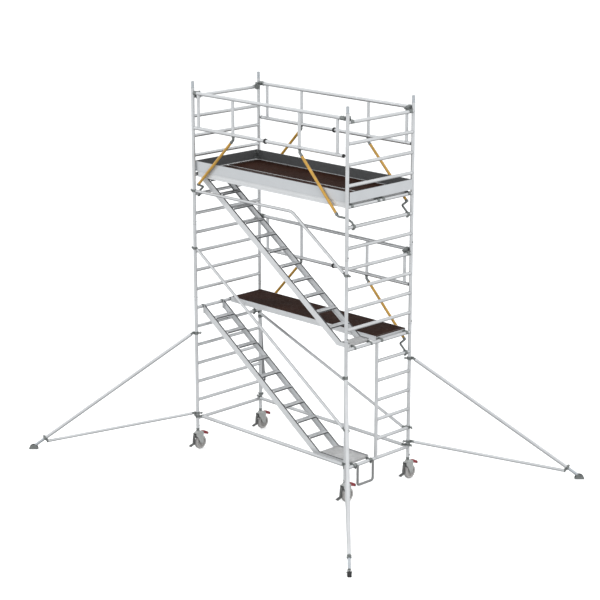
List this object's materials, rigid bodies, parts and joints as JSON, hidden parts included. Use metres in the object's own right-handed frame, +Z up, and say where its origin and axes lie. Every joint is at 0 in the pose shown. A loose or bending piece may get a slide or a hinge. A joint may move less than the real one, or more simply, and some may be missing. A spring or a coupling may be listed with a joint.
{
  "type": "mobile tower scaffold",
  "caption": "Aluminium rolling tower with ladder end frames, inclined stairs, guarded decks, braked casters and splayed stabilisers.",
  "frame": {"origin": "centre of the tower on the floor, midway between the four posts", "axes": "+X along the bay from the ladder end to the passage end, +Y from the stair side to the rear, +Z up"},
  "size_m": [6.5708, 4.8458, 5.456],
  "materials": {
    "aluminium_tube": "drawn round tube, satin mill finish",
    "aluminium_profile": "extruded profile, satin",
    "spigot_aluminium": "drawn tube, slightly duller than the posts",
    "zinc_steel": "hot-dip galvanised, matt spangle",
    "step_tube": "satin tube",
    "deck_plywood": "phenolic film-faced plywood with a fine wire-mesh grip",
    "tread_grey": "grooved anti-slip extrusion and sheet",
    "yellow_paint": "ochre yellow powder coat, worn at the ends",
    "black_rubber": "moulded black rubber",
    "wheel_grey": "moulded grey polyamide with a light polyurethane tyre",
    "brake_red": "moulded red pedal on a grey pressed-steel rocker"
  },
  "bodies": {
    "root": {"brace_tubes": "aluminium_tube", "caster_stems": "zinc_steel", "end_toe_boards": "aluminium_profile", "entry_step": "step_tube", "frame_lock_pins": "zinc_steel", "frame_spigots": "spigot_aluminium", "guard_brace_elbows": "zinc_steel", "guard_brace_hooks": "zinc_steel", "guard_braces": "yellow_paint", "guard_claws": "zinc_steel", "guard_rings_and_caps": "black_rubber", "handrails": "aluminium_tube", "hatch_hinges": "aluminium_profile", "lower_left_frame": "aluminium_tube", "lower_right_passage_frame": "aluminium_tube", "lower_stair_stringers": "aluminium_profile", "middle_deck": "deck_plywood", "middle_left_frame": "aluminium_tube", "middle_platform_frame": "aluminium_profile", "middle_rear_guard_frame": "aluminium_tube", "middle_right_frame": "aluminium_tube", "platform_and_stair_hooks": "zinc_steel", "side_toe_boards": "aluminium_profile", "stair_landings": "tread_grey", "stair_treads": "tread_grey", "tube_couplers": "zinc_steel", "upper_front_deck": "deck_plywood", "upper_front_guard_frame": "aluminium_tube", "upper_front_platform_frame": "aluminium_profile", "upper_left_frame": "aluminium_tube", "upper_rear_deck": "deck_plywood", "upper_rear_guard_frame": "aluminium_tube", "upper_rear_platform_frame": "aluminium_profile", "upper_right_frame": "aluminium_tube", "upper_stair_stringers": "aluminium_profile"},
    "stabiliser_front_left": {"stabiliser_front_left": "aluminium_tube"},
    "stabiliser_leg_front_left": {"stabiliser_leg_front_left": "aluminium_tube"},
    "stabiliser_foot_front_left": {"stabiliser_foot_front_left": "black_rubber"},
    "caster_fork_front_left": {"caster_fork_front_left": "zinc_steel"},
    "caster_wheel_front_left": {"caster_wheel_front_left": "wheel_grey"},
    "caster_brake_front_left": {"caster_brake_front_left": "brake_red"},
    "stabiliser_front_right": {"stabiliser_front_right": "aluminium_tube"},
    "stabiliser_leg_front_right": {"stabiliser_leg_front_right": "aluminium_tube"},
    "stabiliser_foot_front_right": {"stabiliser_foot_front_right": "black_rubber"},
    "caster_fork_front_right": {"caster_fork_front_right": "zinc_steel"},
    "caster_wheel_front_right": {"caster_wheel_front_right": "wheel_grey"},
    "caster_brake_front_right": {"caster_brake_front_right": "brake_red"},
    "stabiliser_rear_right": {"stabiliser_rear_right": "aluminium_tube"},
    "stabiliser_leg_rear_right": {"stabiliser_leg_rear_right": "aluminium_tube"},
    "stabiliser_foot_rear_right": {"stabiliser_foot_rear_right": "black_rubber"},
    "caster_fork_rear_right": {"caster_fork_rear_right": "zinc_steel"},
    "caster_wheel_rear_right": {"caster_wheel_rear_right": "wheel_grey"},
    "caster_brake_rear_right": {"caster_brake_rear_right": "brake_red"},
    "stabiliser_rear_left": {"stabiliser_rear_left": "aluminium_tube"},
    "stabiliser_leg_rear_left": {"stabiliser_leg_rear_left": "aluminium_tube"},
    "stabiliser_foot_rear_left": {"stabiliser_foot_rear_left": "black_rubber"},
    "caster_fork_rear_left": {"caster_fork_rear_left": "zinc_steel"},
    "caster_wheel_rear_left": {"caster_wheel_rear_left": "wheel_grey"},
    "caster_brake_rear_left": {"caster_brake_rear_left": "brake_red"},
    "hatch": {"hatch_panel": "deck_plywood"}
  },
  "joints": [
    {"name": "stabiliser_swing_front_left", "type": "hinge", "parent": "root", "child": "stabiliser_front_left", "pos_m": [-1.5, -0.6375, 1.786], "axis": [0, 0, 1], "range_deg": [-35, 35]},
    {"name": "stabiliser_leg_slide_front_left", "type": "slide", "parent": "stabiliser_front_left", "child": "stabiliser_leg_front_left", "axis": [-0.5701, -0.5701, -0.5915], "range_m": [-0.12, 0.3]},
    {"name": "stabiliser_foot_tilt_front_left", "type": "hinge", "parent": "stabiliser_leg_front_left", "child": "stabiliser_foot_front_left", "pos_m": [-3.21827, -2.35577, 0.04], "axis": [0.7071, -0.7071, 0], "range_deg": [-25, 25]},
    {"name": "caster_swivel_front_left", "type": "hinge", "parent": "root", "child": "caster_fork_front_left", "pos_m": [-1.5, -0.6375, 0.287], "axis": [0, 0, 1], "continuous": true},
    {"name": "caster_roll_front_left", "type": "hinge", "parent": "caster_fork_front_left", "child": "caster_wheel_front_left", "pos_m": [-1.5, -0.5925, 0.1], "axis": [1, 0, 0], "continuous": true},
    {"name": "caster_brake_press_front_left", "type": "hinge", "parent": "caster_fork_front_left", "child": "caster_brake_front_left", "pos_m": [-1.5, -0.6575, 0.23], "axis": [1, 0, 0], "range_deg": [-4, 4]},
    {"name": "stabiliser_swing_front_right", "type": "hinge", "parent": "root", "child": "stabiliser_front_right", "pos_m": [1.5, -0.6375, 1.786], "axis": [0, 0, 1], "range_deg": [-35, 35]},
    {"name": "stabiliser_leg_slide_front_right", "type": "slide", "parent": "stabiliser_front_right", "child": "stabiliser_leg_front_right", "axis": [0.5701, -0.5701, -0.5915], "range_m": [-0.12, 0.3]},
    {"name": "stabiliser_foot_tilt_front_right", "type": "hinge", "parent": "stabiliser_leg_front_right", "child": "stabiliser_foot_front_right", "pos_m": [3.21827, -2.35577, 0.04], "axis": [0.7071, 0.7071, 0], "range_deg": [-25, 25]},
    {"name": "caster_swivel_front_right", "type": "hinge", "parent": "root", "child": "caster_fork_front_right", "pos_m": [1.5, -0.6375, 0.287], "axis": [0, 0, 1], "continuous": true},
    {"name": "caster_roll_front_right", "type": "hinge", "parent": "caster_fork_front_right", "child": "caster_wheel_front_right", "pos_m": [1.5, -0.5925, 0.1], "axis": [1, 0, 0], "continuous": true},
    {"name": "caster_brake_press_front_right", "type": "hinge", "parent": "caster_fork_front_right", "child": "caster_brake_front_right", "pos_m": [1.5, -0.6575, 0.23], "axis": [1, 0, 0], "range_deg": [-4, 4]},
    {"name": "stabiliser_swing_rear_right", "type": "hinge", "parent": "root", "child": "stabiliser_rear_right", "pos_m": [1.5, 0.6375, 1.786], "axis": [0, 0, 1], "range_deg": [-35, 35]},
    {"name": "stabiliser_leg_slide_rear_right", "type": "slide", "parent": "stabiliser_rear_right", "child": "stabiliser_leg_rear_right", "axis": [0.5701, 0.5701, -0.5915], "range_m": [-0.12, 0.3]},
    {"name": "stabiliser_foot_tilt_rear_right", "type": "hinge", "parent": "stabiliser_leg_rear_right", "child": "stabiliser_foot_rear_right", "pos_m": [3.21827, 2.35577, 0.04], "axis": [-0.7071, 0.7071, 0], "range_deg": [-25, 25]},
    {"name": "caster_swivel_rear_right", "type": "hinge", "parent": "root", "child": "caster_fork_rear_right", "pos_m": [1.5, 0.6375, 0.287], "axis": [0, 0, 1], "continuous": true},
    {"name": "caster_roll_rear_right", "type": "hinge", "parent": "caster_fork_rear_right", "child": "caster_wheel_rear_right", "pos_m": [1.5, 0.6825, 0.1], "axis": [1, 0, 0], "continuous": true},
    {"name": "caster_brake_press_rear_right", "type": "hinge", "parent": "caster_fork_rear_right", "child": "caster_brake_rear_right", "pos_m": [1.5, 0.6175, 0.23], "axis": [1, 0, 0], "range_deg": [-4, 4]},
    {"name": "stabiliser_swing_rear_left", "type": "hinge", "parent": "root", "child": "stabiliser_rear_left", "pos_m": [-1.5, 0.6375, 1.786], "axis": [0, 0, 1], "range_deg": [-35, 35]},
    {"name": "stabiliser_leg_slide_rear_left", "type": "slide", "parent": "stabiliser_rear_left", "child": "stabiliser_leg_rear_left", "axis": [-0.5701, 0.5701, -0.5915], "range_m": [-0.12, 0.3]},
    {"name": "stabiliser_foot_tilt_rear_left", "type": "hinge", "parent": "stabiliser_leg_rear_left", "child": "stabiliser_foot_rear_left", "pos_m": [-3.21827, 2.35577, 0.04], "axis": [-0.7071, -0.7071, 0], "range_deg": [-25, 25]},
    {"name": "caster_swivel_rear_left", "type": "hinge", "parent": "root", "child": "caster_fork_rear_left", "pos_m": [-1.5, 0.6375, 0.287], "axis": [0, 0, 1], "continuous": true},
    {"name": "caster_roll_rear_left", "type": "hinge", "parent": "caster_fork_rear_left", "child": "caster_wheel_rear_left", "pos_m": [-1.5, 0.6825, 0.1], "axis": [1, 0, 0], "continuous": true},
    {"name": "caster_brake_press_rear_left", "type": "hinge", "parent": "caster_fork_rear_left", "child": "caster_brake_rear_left", "pos_m": [-1.5, 0.6175, 0.23], "axis": [1, 0, 0], "range_deg": [-4, 4]},
    {"name": "hatch_open", "type": "hinge", "parent": "root", "child": "hatch", "pos_m": [-0.88, -0.556, 4.185], "axis": [1, 0, 0], "range_deg": [0, 92]}
  ]
}
